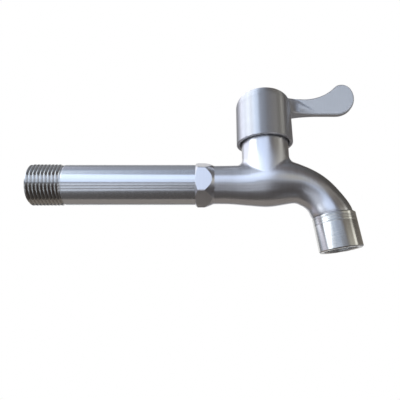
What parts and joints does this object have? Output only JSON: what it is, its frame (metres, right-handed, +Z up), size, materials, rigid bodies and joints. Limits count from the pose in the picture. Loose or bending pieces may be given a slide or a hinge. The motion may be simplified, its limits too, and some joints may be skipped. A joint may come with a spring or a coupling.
{
  "type": "mop sink tap",
  "caption": "Quarter-turn stainless steel bib tap with a long threaded inlet pipe, a lever cap with a flat blade and a screwed-on aerator nozzle, for a mop sink.",
  "frame": {"origin": "centre of the inlet pipe's end face", "axes": "+X along the inlet pipe towards the spout, +Z up the neck, +Y to the left seen from the inlet"},
  "size_m": [0.1684, 0.029, 0.0916],
  "materials": {
    "pipe_steel": "drawn tube with a fine lengthwise grain",
    "cast_steel": "cast stainless steel, satin brushed",
    "lever_steel": "cast stainless steel, satin brushed round the cap",
    "turned_steel": "turned and polished stainless steel",
    "brass": "machined brass",
    "insert_brass": "machined brass pressed into the lever",
    "ceramic": "lapped alumina",
    "rubber": "black nitrile rubber",
    "fibre": "pressed fibre gasket",
    "screw_steel": "plain stainless steel hardware",
    "plug_plastic": "plain grey plastic",
    "white_plastic": "white acetal",
    "mesh_steel": "woven stainless mesh pack"
  },
  "bodies": {
    "body": {"inlet_pipe": "pipe_steel", "tap_body": "cast_steel", "headwork_gasket": "fibre", "headwork_body": "brass", "fixed_ceramic_disc": "ceramic", "seat_seal": "rubber"},
    "lever": {"lever_handle": "lever_steel", "spline_insert": "insert_brass", "handle_screw": "screw_steel", "screw_spring_washer": "screw_steel", "top_plug": "plug_plastic", "spindle": "brass", "spindle_o_rings": "rubber", "glide_washer": "white_plastic", "retaining_clip": "screw_steel", "moving_ceramic_disc": "ceramic"},
    "aerator": {"aerator_insert": "white_plastic", "spray_plate": "white_plastic", "aerator_mesh": "mesh_steel", "nozzle_washer": "rubber"},
    "nozzle": {"outlet_nozzle": "turned_steel"}
  },
  "joints": [
    {"name": "lever_turn", "type": "hinge", "parent": "body", "child": "lever", "pos_m": [0.1192, 0, 0], "axis": [0, 0, 1], "range_deg": [0, 90]},
    {"name": "nozzle_travel", "type": "slide", "parent": "body", "child": "aerator", "axis": [0.1323, 0, -0.9912], "range_m": [0, 0.00501]},
    {"name": "nozzle_unscrew", "type": "hinge", "parent": "aerator", "child": "nozzle", "pos_m": [0.15155, 0, -0.01575], "axis": [0.1323, 0, -0.9912], "range_deg": [0, 1800]}
  ],
  "couplings": [
    {"joint": "nozzle_travel", "follows": "nozzle_unscrew", "m_per_rad": 0.00015915}
  ]
}
